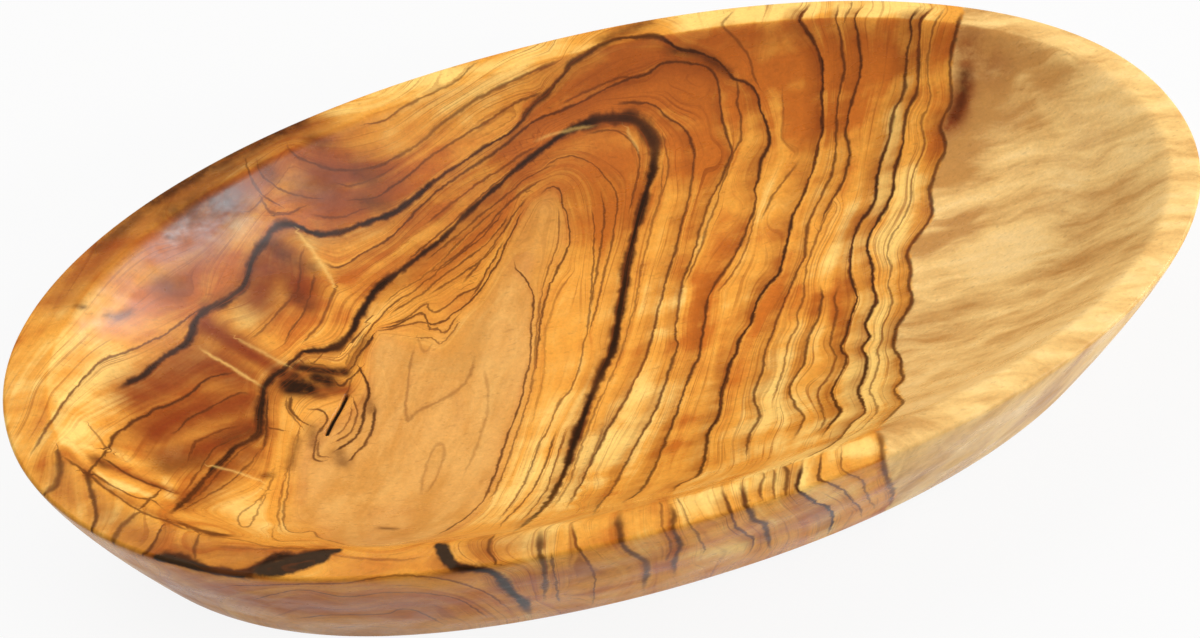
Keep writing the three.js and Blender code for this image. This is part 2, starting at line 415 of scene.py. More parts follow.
    (25, fine, 0.7, ((315, 270), (312, 285), (308, 300), (302, 315), (297, 322), (288, 335), (283, 345))),
    (22.5, fine, 0.6, ((335, 290), (328, 305), (322, 320), (315, 330), (305, 340))),
    # The outer arch
    (30, bold, 1, ((118, 388), (130, 382), (143, 376), (152, 368), (160, 360), (170, 354), (182, 347),
     (188, 343))),
    (30, heavy, 0.95, ((188, 343), (192, 332), (196, 320), (202, 313), (212, 307), (225, 301), (235, 293),
     (243, 287), (248, 275), (252, 262), (258, 250), (264, 242), (272, 230), (280, 224), (290, 224))),
    (30, bold, 1, ((290, 224), (300, 227), (310, 232), (320, 235), (335, 233), (350, 229), (365, 223),
     (380, 218), (395, 212), (405, 205), (418, 195), (430, 185))),
    (30, strong, 0.9, ((430, 185), (440, 177), (450, 170), (465, 160), (480, 150), (495, 141), (506, 135),
     (513, 130), (522, 122))),
    (30, bold, 0.75, ((522, 122), (527, 113), (533, 105), (541, 99), (550, 90), (558, 80), (565, 72),
     (572, 63), (580, 58), (590, 52), (600, 45), (620, 38), (640, 37), (655, 36), (665, 39))),
    (30, strong, 1, ((665, 39), (672, 45), (680, 49), (693, 51), (705, 55), (715, 60), (722, 65),
     (728, 72), (735, 80), (745, 82), (753, 87), (758, 97), (760, 107), (763, 115), (768, 130),
     (769, 142), (766, 152), (762, 160), (760, 170), (755, 190))),
    (30, medium, 0.9, ((755, 190), (755, 205), (748, 225), (735, 255), (725, 270), (715, 285), (708, 300),
     (705, 320), (702, 340), (699, 355), (690, 375), (683, 395), (676, 415), (668, 435), (656, 465),
     (648, 480), (638, 493), (622, 503))),
    # Outside the outer arch, on the left
    (31.5, fine, 0.7, ((545, 92), (530, 97), (515, 103), (500, 113), (485, 123), (470, 131), (455, 142),
     (440, 150), (425, 160), (412, 172), (400, 182), (385, 192), (375, 198), (360, 200), (345, 200))),
    (32.5, unseen, 0, ((520, 90), (480, 108), (445, 136), (410, 162), (370, 184), (320, 190))),
    (32, fine, 0.8, ((210, 302), (195, 312), (185, 320), (175, 327), (165, 335), (155, 339), (145, 344),
     (133, 349), (120, 354), (108, 358), (97, 364), (88, 374), (78, 385), (66, 398), (57, 412), (48, 426),
     (43, 434), (30, 455))),
    (34, strong, 0.5, ((560, 60), (540, 68), (520, 78), (500, 87), (480, 97), (460, 110), (440, 125),
     (420, 142), (400, 155), (380, 165), (360, 170), (340, 170), (325, 168), (310, 162), (300, 158),
     (290, 150), (286, 142))),
    (34, unseen, 0, ((45, 390), (85, 350), (130, 315), (175, 280), (220, 240), (250, 200))),
    (37, unseen, 0, ((60, 325), (100, 270), (165, 205))),
    (38.6, unseen, 0, ((345, 117), (300, 131), (260, 151), (215, 177), (170, 206))),
    (31, unseen, 0, ((150, 358), (185, 334), (225, 288))),
    (28.5, unseen, 0, ((80, 420), (120, 400), (160, 380), (200, 355))),
    (38.6, fine, 0.6, ((480, 60), (470, 68), (460, 78), (450, 85), (440, 89), (425, 96), (415, 101),
     (400, 110), (390, 118), (375, 123), (360, 125))),
    (28, bar, 0.9, ((58, 452), (60, 465), (59, 478), (56, 486), (49, 490))),
    (25, bar, 0.95, ((88, 474), (90, 488), (94, 500), (96, 512), (95, 522), (92, 528))),
    (22.5, bar, 0.7, ((134, 515), (125, 523), (117, 532), (113, 541))),
    (21.3, medium, 0.8, ((160, 530), (153, 545), (145, 553))),
    # Loose strands on the left wall and beside the great arch
    (101, loose, 0.8, ((246, 160), (249, 172), (258, 190), (276, 204))),
    (102, loose, 0.8, ((256, 154), (261, 174), (280, 189), (304, 197), (330, 200))),
    (103, loose, 0.7, ((205, 190), (222, 205), (246, 212), (262, 200))),
    (104, loose, 0.7, ((262, 200), (270, 212), (286, 214), (300, 208))),
    (105, loose, 0.6, ((330, 180), (350, 186), (375, 178), (398, 165))),
    (106, loose, 0.6, ((310, 214), (335, 218), (362, 210), (388, 198))),
    (107, loose, 0.9, ((540, 150), (515, 168), (488, 190), (460, 215), (432, 240), (405, 262))),
    (120, loose, 0.9, ((545, 178), (522, 192), (502, 210), (484, 231), (458, 254), (428, 276))),
    (138, loose, 0.9, ((528, 196), (510, 220), (497, 240), (480, 262), (462, 284))),
    (139, loose, 0.8, ((556, 164), (530, 176), (505, 196), (480, 216), (452, 240), (424, 262))),
    (140, loose, 0.8, ((600, 190), (604, 215), (601, 245), (596, 275), (590, 310))),
    (108, loose, 0.8, ((585, 134), (612, 130), (632, 142), (640, 160), (636, 185), (628, 215))),
    (109, loose, 0.7, ((664, 140), (668, 165), (664, 190))),
    (110, loose, 0.7, ((560, 104), (590, 90), (620, 78), (640, 78))),
    (111, swirl, 0.65, ((90, 468), (100, 478), (120, 490), (136, 497), (152, 500), (164, 509))),
    (112, swirl, 0.75, ((98, 458), (108, 461), (124, 472), (144, 482), (164, 489), (178, 494))),
    (115, swirl, 0.8, ((106, 452), (98, 461), (88, 474))),
    (116, loose, 0.5, ((91, 428), (99, 437), (107, 450))),
    (117, loose, 0.9, ((160, 491), (149, 500), (142, 507))),
    (118, swirl, 0.7, ((198, 538), (194, 548), (195, 558))),
    (119, swirl, 0.65, ((62, 455), (80, 468), (100, 484), (120, 498), (140, 511), (168, 522),
     (192, 532))),
    (113, loose, 0.8, ((246, 430), (232, 440), (216, 448), (206, 460), (194, 478), (184, 492))),
    (114, loose, 0.7, ((256, 440), (240, 452), (222, 470), (204, 490), (186, 506))),
    # The swirl round the knot and the slit
    (121, swirl, 1, ((372, 338), (364, 348), (358, 357), (353, 366), (347, 372), (340, 373))),
    (122, swirl, 0.9, ((330, 375), (335, 382), (341, 386), (348, 380), (355, 374), (360, 369))),
    (123, swirl, 1, ((360, 369), (365, 378), (369, 387), (369, 395), (366, 403), (364, 413), (361, 425),
     (356, 437), (347, 444), (338, 449), (330, 455))),
    (124, swirl, 0.9, ((374, 402), (374, 415), (372, 428), (368, 438), (364, 446), (357, 452), (350, 460),
     (343, 464))),
    (125, loose, 0.9, ((354, 402), (357, 412), (355, 422), (352, 430), (347, 435), (338, 440))),
    (126, loose, 0.7, ((351, 410), (350, 419), (345, 428), (338, 433))),
    (127, loose, 1, ((306, 409), (318, 410), (324, 413), (327, 418), (325, 424), (320, 430), (317, 437),
     (315, 448), (314, 458), (322, 461), (330, 459))),
    (128, loose, 0.8, ((319, 443), (318, 451), (320, 456), (328, 457))),
    (129, swirl, 0.8, ((291, 399), (290, 408), (294, 414), (300, 420), (308, 424))),
    (130, loose, 0.7, ((287, 402), (288, 410), (295, 419), (301, 426))),
    (131, swirl, 0.6, ((299, 432), (296, 448), (292, 460), (287, 471))),
    (132, loose, 0.9, ((301, 361), (306, 366), (312, 368), (320, 368))),
    (133, loose, 0.8, ((322, 354), (318, 359), (312, 364))),
    (134, swirl, 0.9, ((268, 390), (267, 408), (266, 425), (265, 442), (259, 455))),
    (135, loose, 0.8, ((266, 427), (274, 428), (283, 430))),
    (136, loose, 0.7, ((352, 377), (349, 387), (346, 394))),
    (137, loose, 0.7, ((362, 338), (355, 346), (349, 355), (346, 364))),
    # The wavy lines on the right
    (31.5, fine, 0.6, ((735, 9), (728, 17), (722, 25), (735, 38), (745, 50), (750, 62), (755, 78),
     (762, 92))),
    (31.5, fine, 0.6, ((757, 210), (750, 235), (745, 250), (738, 265), (728, 280), (718, 292))),
    (32.8, fine, 0.3, ((782, 85), (783, 120), (782, 138), (790, 148), (797, 155))),
    (33.2, fine, 0.7, ((800, 160), (785, 180), (775, 192), (768, 205), (762, 220))),
    (32.5, unseen, 0, ((738, 290), (728, 320), (718, 350), (710, 390), (696, 430), (680, 462))),
    (34, strong, 1, ((810, 4), (800, 18), (805, 28), (812, 38), (817, 48), (821, 60), (822, 75),
     (822, 95), (822, 130), (819, 142), (814, 165), (808, 182), (802, 198), (795, 210), (791, 222),
     (789, 235), (784, 255), (778, 275), (768, 285), (759, 298), (754, 312), (752, 322), (746, 331),
     (740, 338), (737, 350), (730, 365), (726, 380), (722, 390), (720, 405), (718, 418), (711, 428),
     (707, 440), (705, 455), (703, 465), (698, 475), (690, 480), (680, 484), (672, 492))),
    (35.4, unseen, 0, ((829, 60), (830, 120), (822, 165), (806, 205), (797, 245), (786, 280), (768, 310),
     (752, 345), (742, 380), (734, 415), (722, 450))),
    (37, medium, 0.75, ((839, 4), (836, 18), (839, 28), (841, 40), (843, 55), (844, 70), (841, 85),
     (838, 100), (836, 130), (836, 145), (835, 160), (830, 178), (823, 192), (816, 207), (809, 222),
     (806, 240), (804, 258), (797, 272), (792, 285), (785, 300), (779, 315), (772, 335), (765, 350),
     (763, 370), (757, 385), (754, 400), (760, 415), (752, 430), (747, 445), (747, 460))),
    (38, fine, 0.6, ((852, 5), (845, 18))),
    (38, fine, 0.6, ((832, 205), (824, 220), (814, 245), (808, 262), (805, 278), (803, 300), (797, 315),
     (798, 325), (790, 338), (786, 355), (783, 370), (778, 385), (772, 400))),
    (39, medium, 0.9, ((864, 5), (855, 18), (858, 35), (860, 50), (861, 65), (859, 78), (855, 90),
     (851, 105), (847, 122), (846, 135), (849, 145), (849, 158), (846, 172), (840, 188), (832, 200),
     (826, 212), (820, 225))),
    (40.6, medium, 0.75, ((820, 285), (822, 300), (817, 320), (808, 340), (806, 350), (803, 365),
     (795, 378), (790, 390), (795, 405), (804, 418), (793, 440))),
    (41, unseen, 0, ((885, 40), (882, 75), (872, 115), (864, 160), (858, 195), (845, 225))),
    (42.4, medium, 0.6, ((838, 285), (835, 300), (837, 312), (832, 335), (830, 345), (836, 358),
     (830, 375), (820, 388), (818, 398), (822, 410), (824, 422), (815, 435))),
    (43.6, strong, 1, ((919, 7), (911, 20), (911, 35), (908, 50), (906, 70), (905, 85), (902, 97),
     (896, 107), (892, 120), (890, 135), (885, 150), (880, 165), (877, 180), (875, 200), (868, 213),
     (860, 222), (853, 240), (851, 258), (850, 275), (854, 288), (857, 300), (850, 318), (846, 335),
     (841, 348), (847, 360), (838, 378), (832, 392), (835, 402), (840, 412), (830, 425), (822, 437))),
    (45.4, strong, 1, ((933, 8), (921, 20), (919, 35), (919, 50), (918, 80), (916, 95), (909, 107),
     (905, 118), (904, 132), (902, 145), (898, 160), (895, 170), (893, 190), (888, 203), (880, 218),
     (871, 232), (867, 245), (870, 258), (873, 270), (873, 285), (876, 300), (869, 315), (866, 325),
     (869, 338), (863, 348), (867, 360), (865, 375), (858, 390), (862, 402), (865, 412), (852, 423),
     (845, 432), (838, 440), (828, 447), (818, 452), (807, 457))),
    (46.6, fine, 0.6, ((945, 8), (936, 21), (932, 35), (929, 50), (927, 65), (928, 80), (931, 95),
     (928, 107), (922, 118), (922, 130), (925, 142), (922, 155), (915, 167), (911, 185), (911, 200),
     (906, 213), (900, 225), (890, 240), (887, 255), (891, 268), (888, 285), (892, 300), (888, 315),
     (882, 328), (882, 340), (877, 350), (879, 360), (876, 375), (870, 390), (875, 402), (877, 412),
     (868, 422), (857, 432), (840, 441))),
    (48.8, sap_top, 0.9, ((963, 12), (958, 24), (954, 40), (951, 55), (950, 70), (951, 100), (945, 115))),
    (48.8, sap_edge, 0.9, ((945, 115), (940, 128), (944, 138), (945, 150), (940, 160), (934, 175),
     (930, 190), (931, 205), (932, 215), (926, 225), (916, 238), (908, 250), (908, 258), (911, 270),
     (909, 285), (912, 300), (907, 312), (898, 325), (895, 338), (894, 348), (900, 358), (901, 370),
     (903, 380), (895, 388), (897, 395), (903, 402), (898, 408), (888, 418), (878, 427))),
    (60, unseen, 0, ((1055, 40), (1040, 150), (1015, 260), (1000, 350), (985, 420))),
    (74, unseen, 0, ((1175, 120), (1160, 200), (1120, 290))),
    # Across the front rim and down the outer wall
    (23.6, medium, 0.7, ((490, 540), (489, 550), (495, 560))),
    (26, bar, 0.9, ((541, 530), (540, 555), (543, 560), (545, 580), (545, 600))),
    (27.2, fine, 0.7, ((551, 560), (556, 580), (558, 600))),
    (28, fine, 0.8, ((572, 523), (574, 535), (576, 547), (580, 552), (588, 562), (592, 570), (595, 580),
     (594, 595), (592, 605))),
    (30, bar, 0.9, ((620, 512), (619, 525), (621, 540), (625, 548), (635, 555), (645, 562), (646, 575),
     (643, 590))),
    (33.2, fine, 0.6, ((662, 505), (662, 525), (665, 532), (671, 545), (668, 558))),
    (34, bar, 1, ((670, 503), (674, 515), (673, 527), (675, 533), (680, 545), (675, 560), (675, 575))),
    (35.4, fine, 0.6, ((680, 502), (686, 515), (690, 525), (695, 530), (700, 540), (705, 550))),
    (37, medium, 0.8, ((722, 488), (725, 498), (729, 508), (732, 515), (735, 525), (745, 533), (754, 540),
     (750, 552))),
    (39, bar, 1, ((742, 482), (744, 495), (746, 505), (750, 512), (755, 520), (765, 525), (768, 540),
     (770, 550))),
    (40.6, medium, 0.6, ((762, 480), (760, 492))),
    (42.4, medium, 0.6, ((775, 476), (774, 490))),
    (43.6, strong, 0.7, ((788, 470), (786, 488))),
    (45.4, strong, 1, ((803, 462), (799, 475), (797, 490), (805, 495), (815, 502), (828, 507), (833, 517),
     (831, 527), (827, 535))),
    (46.6, fine, 1, ((822, 452), (820, 468), (818, 480), (830, 483), (843, 490), (852, 500), (860, 508),
     (862, 518))),
    (47.5, fine, 0.7, ((842, 446), (843, 470), (862, 480), (865, 490), (870, 500), (876, 510))),
    (48.8, bar, 0.9, ((876, 430), (881, 440), (883, 460), (885, 472), (890, 485), (893, 495),
     (890, 506))),
)

# Growth lines on the back wall, where the photograph doesn't show them: they go on from the far rim. Their
# points are millimetres along the bowl and above the table.
back_lines = (
    (31.5, fine, 0.7, ((46, 38), (40, 27), (26, 18), (6, 15), (-16, 18), (-30, 27), (-36, 38))),
    (34, strong, 1, ((65, 38), (61, 26), (49, 14), (26, 8), (-6, 7), (-32, 13), (-47, 25), (-54, 38))),
    (37, medium, 0.8, ((71, 38), (67, 22), (60, 10), (48, 1))),
    (39, medium, 0.9, ((76, 38), (73, 24), (67, 12), (59, 1))),
    (40.6, fine, 0.6, ((-66, 38), (-62, 26), (-52, 14), (-36, 5), (-20, 1))),
    (43.6, strong, 1, ((87, 38), (85, 26), (81, 13), (75, 1))),
    (45.4, strong, 1, ((89.5, 38), (88, 25), (84, 12), (79, 1))),
    (46.6, fine, 0.7, ((92, 38), (90.5, 24), (87, 12), (82, 1))),
    (48.8, sap_edge, 0.9, ((95.5, 38), (94, 24), (90.5, 12), (86, 1))),
)

# Painted highlights: pale glints along the scratches that the gouge and the sanding left
glint_lines = (
    (0, glint, 0.9, ((199, 347), (215, 358), (232, 367), (248, 378), (262, 387))),
    (0, glint, 0.6, ((240, 340), (262, 352), (285, 364))),
    (0, glint, 0.7, ((214, 467), (236, 472), (258, 480))),
    (0, glint, 0.8, ((300, 235), (318, 258), (332, 282))),
    (0, glint, 0.7, ((534, 142), (560, 132), (596, 126))),
    (0, glint, 0.6, ((628, 132), (636, 146))),
)

skin = BVHTree.FromPolygons(
    [tuple(spot.co) for spot in bowl_mesh.vertices], [tuple(face.vertices) for face in bowl_mesh.polygons]
)


def on_bowl(pixel):
    """The point of the bowl that shows at a pixel of the photograph."""
    hit = skin.ray_cast(camera_place, sight_line(pixel))[0]
    if hit is None:
        raise ValueError(f"no bowl at pixel {pixel}")
    return np.array(hit)


def on_back(point):
    """The point of the back wall at a place along the bowl and a height, both in millimetres."""
    outside = Vector((point[0] * mm, width, point[1] * mm))
    return np.array(skin.ray_cast(outside, Vector((0.0, -1.0, 0.0)))[0])


def drawn_path(pixels, spacing):
    """Pixels along a smooth curve through the given ones, about evenly spaced."""
    pixels = np.array(pixels, dtype=float)
    padded = np.vstack([2 * pixels[0] - pixels[1], pixels, 2 * pixels[-1] - pixels[-2]])
    path = [pixels[0]]
    for before, start, end, after in zip(padded, padded[1:], padded[2:], padded[3:]):
        count = max(1, round(np.linalg.norm(end - start) / spacing))
        for along in np.linspace(0, 1, count + 1)[1:]:
            pull = (end - before) * along + (2 * before - 5 * start + 4 * end - after) * along**2
            pull += (3 * start - before - 3 * end + after) * along**3
            path.append(start + pull / 2)
    return path


# The knot has more detail than the rest, so the skin is made finer there.
knot_pixel = (318, 405)
knot_reach = 18 * mm
knot_cuts = 2
knot_middle = Vector(on_bowl(knot_pixel))
finer = bmesh.new()
finer.from_mesh(bowl_mesh)
at_knot = []
for edge in finer.edges:
    if max((spot.co - knot_middle).length for spot in edge.verts) < knot_reach:
        at_knot.append(edge)
bmesh.ops.subdivide_edges(finer, edges=at_knot, cuts=knot_cuts, use_grid_fill=True)
finer.to_mesh(bowl_mesh)
finer.free()

mesh_points = np.empty(len(bowl_mesh.vertices) * 3, dtype=np.float32)
bowl_mesh.vertices.foreach_get("co", mesh_points)
mesh_points = mesh_points.reshape(-1, 3).astype(np.float64)
mesh_normals = np.empty(len(bowl_mesh.vertices) * 3, dtype=np.float32)
bowl_mesh.vertices.foreach_get("normal", mesh_normals)
mesh_normals = mesh_normals.reshape(-1, 3)

# Lines are followed pixel by pixel, and on the back wall by quarters of a millimetre.
trace_step = 1
back_step = 0.25


def traced(lines):
    """Lines given by pixels, each with the points that it runs through on the bowl added."""
    found = []
    for number, look, ink, course in lines:
        path = [on_bowl(pixel) for pixel in drawn_path(course, trace_step)]
        found.append((number, look, ink, course, np.array(path)))
    return found


traced_lines = traced(growth_lines)
for number, look, ink, course in back_lines:
    path = [on_back(point) for point in drawn_path(course, back_step)]
    traced_lines.append((number, look, ink, course, np.array(path)))

# Every tenth point or so of a line guides the years.
cm = 10 * mm
guide_step = 10
guide_places = []
guide_years = []
for number, look, ink, course, path in traced_lines:
    if look not in (wisp, swirl, loose):
        guides_wanted = max(1, round(len(path) / guide_step))
        guides = path[:: max(1, len(path) // guides_wanted)]
        guide_places += [place / cm for place in guides]
        guide_years += [number] * len(guides)
guide_places = np.array(guide_places)
guide_years = np.array(guide_years)
guide_count = len(guide_places)


def distances(points):
    """How far each of some points is from each guide, all in centimetres, and never quite nothing."""
    return np.linalg.norm(points[:, None] - guide_places[None], axis=2) + 1e-9


# The years of the guides are carried over the whole bowl like a sheet bent through them.
looseness = 0.01
batches = 60
plain = np.hstack([np.ones((guide_count, 1)), guide_places])
gaps = distances(guide_places)
system = np.zeros((guide_count + 4, guide_count + 4))
system[:guide_count, :guide_count] = gaps**2 * np.log(gaps) + looseness * np.eye(guide_count)
system[:guide_count, guide_count:] = plain
system[guide_count:, :guide_count] = plain.T
sheet = np.linalg.solve(system, np.concatenate([guide_years, np.zeros(4)]))
mesh_years = np.empty(len(mesh_points))
for part in np.array_split(np.arange(len(mesh_points)), batches):
    points = mesh_points[part] / cm
    gaps = distances(points)
    steady = sheet[guide_count] + points @ sheet[guide_count + 1 :]
    mesh_years[part] = (gaps**2 * np.log(gaps)) @ sheet[:guide_count] + steady


def keep_on_mesh(name, values):
    """Stores one number for every point of the bowl, for the material to read."""
    attribute = bowl_mesh.attributes.new(name, "FLOAT", "POINT")
    attribute.data.foreach_set("value", values.astype(np.float32))


keep_on_mesh("years", mesh_years)


def faded(distance, near, far):
    """One up to the near distance, falling smoothly to nothing at the far one."""
    share = np.clip((far - distance) / (far - near), 0, 1)
    return share * share * (3 - 2 * share)


# Lengths along a line are counted in its points, and the reach of its ink in millimetres.
row_ends = [course[end] for number, look, ink, course, path in traced_lines for end in (0, -1)]
taper_length = 12
long_line = 5 * taper_length
end_share = 0.4
join_reach = 3 * mm
beside_reach = 2 * mm
shade_reach = 5.5 * mm
shade_fade = 1 * mm
ink_full = 0.8
ink_gone = 2


def lay_lines(name, lines):
    """Stores for every point of the bowl its distance to the nearest of some lines, counted towards the
    heart, and that line's width, strength and shade."""
    places = []
    courses = []
    traits = []
    for row, (number, look, ink, course, path) in enumerate(lines):
        steps = np.arange(len(path))
        taper = np.ones(len(path))
        # A long line thins out at an end that no other line takes up.
        if len(path) > long_line and row_ends.count(course[0]) < 2:
            taper = np.minimum(taper, (steps + 1) / taper_length)
        if len(path) > long_line and row_ends.count(course[-1]) < 2:
            taper = np.minimum(taper, (len(path) - steps) / taper_length)
        half_width, depth, shade = look
        places.append(path)
        courses.append(np.gradient(path, axis=0))
        ones = np.ones(len(path))
        widths = half_width * (end_share + (1 - end_share) * taper)
        inks = ink * depth * taper
        shades = ink * shade * taper
        traits.append(np.stack([row * ones, number * ones, widths, inks, shades]))
    places = np.concatenate(places)
    courses = np.concatenate(courses)
    traits = np.concatenate(traits, axis=1)
    finder = KDTree(len(places))
    for index, point in enumerate(places):
        finder.insert(point, index)
    finder.balance()
    # Where lines of one number meet, their widths run into each other.
    for index, point in enumerate(places):
        beside = [other for spot, other, gap in finder.find_range(point, join_reach)]
        beside = [other for other in beside if traits[1, other] == traits[1, index]]
        traits[2, index] = np.mean(traits[2, beside])
    found = [finder.find(point)[1:] for point in mesh_points]
    nearest = np.array([index for index, distance in found])
    distance = np.array([distance for index, distance in found])
    row, number, half_width, ink, shade = traits[:, nearest]
    # A line's heart side is the one where most of the years beside it are lower than its own.
    side = np.sign(np.sum(np.cross(mesh_points - places[nearest], courses[nearest]) * mesh_normals, axis=1))
    inner = np.where(mesh_years < number, 1.0, -1.0)
    for this_row in np.unique(row):
        around = (row == this_row) & (distance < beside_reach)
        if np.sum(side[around] * inner[around]) < 0:
            side[row == this_row] *= -1
    reach = shade * shade_reach
    keep_on_mesh(f"gap_{name}", side * distance / mm)
    keep_on_mesh(f"width_{name}", half_width)
    ink_left = faded(distance, (half_width + ink_full) * mm, (half_width + ink_gone) * mm)
    keep_on_mesh(f"ink_{name}", ink * ink_left)
    keep_on_mesh(f"shade_{name}", shade * faded(distance, reach, reach + shade_fade))


# Lines are laid in sets, so that those of one set lie well apart.
set_count = 9
seen_lines = [line for line in traced_lines if line[1] != unseen]
seen_numbers = sorted({line[0] for line in seen_lines})
for first in range(set_count):
    lay_lines(first, [line for line in seen_lines if line[0] in seen_numbers[first::set_count]])
# The glint lines are painted highlights.
lay_lines("glint", traced(glint_lines))

# Strokes are soft, so every sixth pixel is enough. Past the margin, in half widths, one is spent.
stroke_step = 6
stroke_margin = 2.5


def stroke_distance(pixels, reach):
    """The points of the bowl close to a stroke through pixels, and how far each is from it."""
    path = [on_bowl(pixel) for pixel in drawn_path(pixels, stroke_step)]
    low = np.min(path, axis=0) - stroke_margin * reach
    high = np.max(path, axis=0) + stroke_margin * reach
    near = np.flatnonzero(np.all((mesh_points > low) & (mesh_points < high), axis=1))
    distance = np.full(len(near), np.inf)
    for start, end in zip(path, path[1:]):
        leg = end - start
        along = np.clip((mesh_points[near] - start) @ leg / (leg @ leg), 0, 1)
        aside = mesh_points[near] - start - along[:, None] * leg
        distance = np.minimum(distance, np.linalg.norm(aside, axis=1))
    return near, distance


def brushed(strokes):
    """How strongly strokes cover each point: one has pixels, a half width in millimetres and a strength."""
    cover = np.zeros(len(mesh_points))
    for pixels, half_width, strength in strokes:
        reach = half_width * mm
        near, distance = stroke_distance(pixels, reach)
        cover[near] = np.maximum(cover[near], strength * np.exp(-((distance / reach) ** 2)))
    return cover


# The flat top of the rim is cut across the grain at another angle than the hollow, and takes other tones.
# Its paler tone is partly painted light on the top face.
rim_top_depth = 0.1 * mm
rim_edge_depth = 0.4 * mm
on_rim = faded(height - mesh_points[:, 2], rim_top_depth, rim_edge_depth)
off_rim = 1 - on_rim

# The outer wall is polished less than the hollow.
outwards = mesh_normals[:, :2] * np.sign(mesh_points[:, :2])
keep_on_mesh("outside", np.clip(np.sum(outwards, axis=1), 0, 1))

# Red heartwood in the hollow: in patches left of the knot, at the sapwood's top, and along the far wall
# under the rim, where it is partly painted shade on that wall
russet_and_shade_strokes = (
    # This band and the next are partly painted shade on the far wall under the rim.
    (((560, 84), (600, 58), (680, 42), (760, 32), (850, 32), (945, 42)), 5, 0.32),
    (((585, 84), (640, 64), (700, 64)), 5, 0.4),
    (((205, 325), (245, 350), (285, 376)), 3, 1),
    (((135, 395), (200, 366), (240, 378)), 6, 1),
    (((155, 432), (185, 415), (245, 402)), 6, 1),
    (((258, 300), (275, 255), (300, 290)), 5, 1),
    (((168, 456), (205, 450), (250, 425)), 5, 1),
    (((185, 500), (215, 480), (252, 452)), 2.5, 0.9),
    (((62, 452), (90, 474), (130, 502), (170, 520)), 1.3, 0.55),
    (((98, 460), (140, 479), (178, 493)), 1.2, 0.9),
    (((318, 168), (385, 185), (335, 208)), 6, 0.75),
    (((318, 391), (345, 390)), 2, 0.9),
    (((170, 290), (210, 245), (255, 180)), 5, 0.55),
    (((260, 165), (310, 138), (335, 150)), 6, 0.5),
    (((200, 500), (255, 455)), 3, 0.6),
    (((966, 46), (967, 86)), 2.4, 0.75),
    (((965, 84), (958, 112), (947, 124)), 2.6, 1),
    (((966, 40), (990, 66)), 5, 0.45),
)
# The same red on the rim and down the outer wall; the broad bands along the front of the outer wall are
# partly painted shade
outer_russet_and_shade_strokes = (
    (((62, 296), (77, 279), (155, 211), (215, 176), (280, 142), (320, 124)), 5, 0.65),
    # The broad bands along the front of the outer wall are partly painted shade.
    (((180, 590), (300, 605), (420, 605)), 10, 0.38),
    (((520, 580), (600, 570), (650, 558)), 7, 0.35),
    (((780, 524), (830, 508)), 6, 0.25),
    (((478, 548), (500, 546), (540, 541)), 3, 0.5),
    (((50, 470), (75, 500)), 3, 0.4),
    (((100, 512), (125, 528), (150, 544)), 3, 0.55),
    (((185, 548), (250, 555)), 2.5, 0.5),
)
# The russet mark is red wood; on the far wall under the rim and along the front of the outer wall it is
# partly painted shade.
keep_on_mesh("russet", np.maximum(brushed(russet_and_shade_strokes) * off_rim, brushed(outer_russet_and_shade_strokes)))

# Orange wood, deeper in tone than the gold: over the far wall, inside the great arch, on the left wall
# and in the upper part of the sapwood. Over the far wall and at the sapwood's top it is partly painted
# shade.
deep_and_shade_strokes = (
    # These two bands over the far wall are partly painted shade.
    (((560, 120), (640, 85), (720, 75), (800, 70), (880, 60)), 9, 1),
    (((665, 135), (705, 150), (740, 120), (790, 120), (850, 110)), 7, 0.7),
    (((530, 165), (580, 165), (620, 170), (600, 220)), 8, 0.8),
    (((420, 270), (475, 240), (510, 205)), 5, 0.7),
    (((525, 230), (528, 320), (522, 390)), 4, 0.4),
    (((150, 300), (190, 300), (215, 265)), 7, 1),
    (((330, 300), (390, 262)), 4, 0.8),
    (((296, 330), (345, 316)), 3, 0.7),
    (((310, 226), (365, 214)), 3, 0.8),
    (((735, 220), (722, 260), (710, 300)), 4, 0.6),
    (((300, 250), (330, 262), (318, 300)), 4, 0.6),
    (((690, 330), (745, 340), (790, 300), (830, 310)), 6, 0.6),
    (((300, 190), (380, 190), (430, 160)), 9, 0.6),
    (((175, 250), (230, 200), (280, 170)), 7, 0.9),
    (((390, 250), (470, 200)), 6, 0.4),
    # These bands at the top of the sapwood, under the far rim, are partly painted shade.
    (((970, 45), (1050, 75)), 6, 1),
    (((950, 165), (975, 120), (1010, 90)), 7, 1),
    (((925, 245), (960, 225)), 4, 0.8),
    (((975, 112), (1035, 128)), 5, 0.5),
)
# The same orange down the outer wall, where it is partly painted shade on the front
outer_deep_and_shade_strokes = ((((250, 600), (420, 605), (560, 590), (680, 560)), 8, 0.45),)
# The deep mark is deeper orange wood; over the far wall, at the sapwood's top and along the front of the
# outer wall it is partly painted shade.
keep_on_mesh("deep", np.maximum(brushed(deep_and_shade_strokes), brushed(outer_deep_and_shade_strokes)) * off_rim)

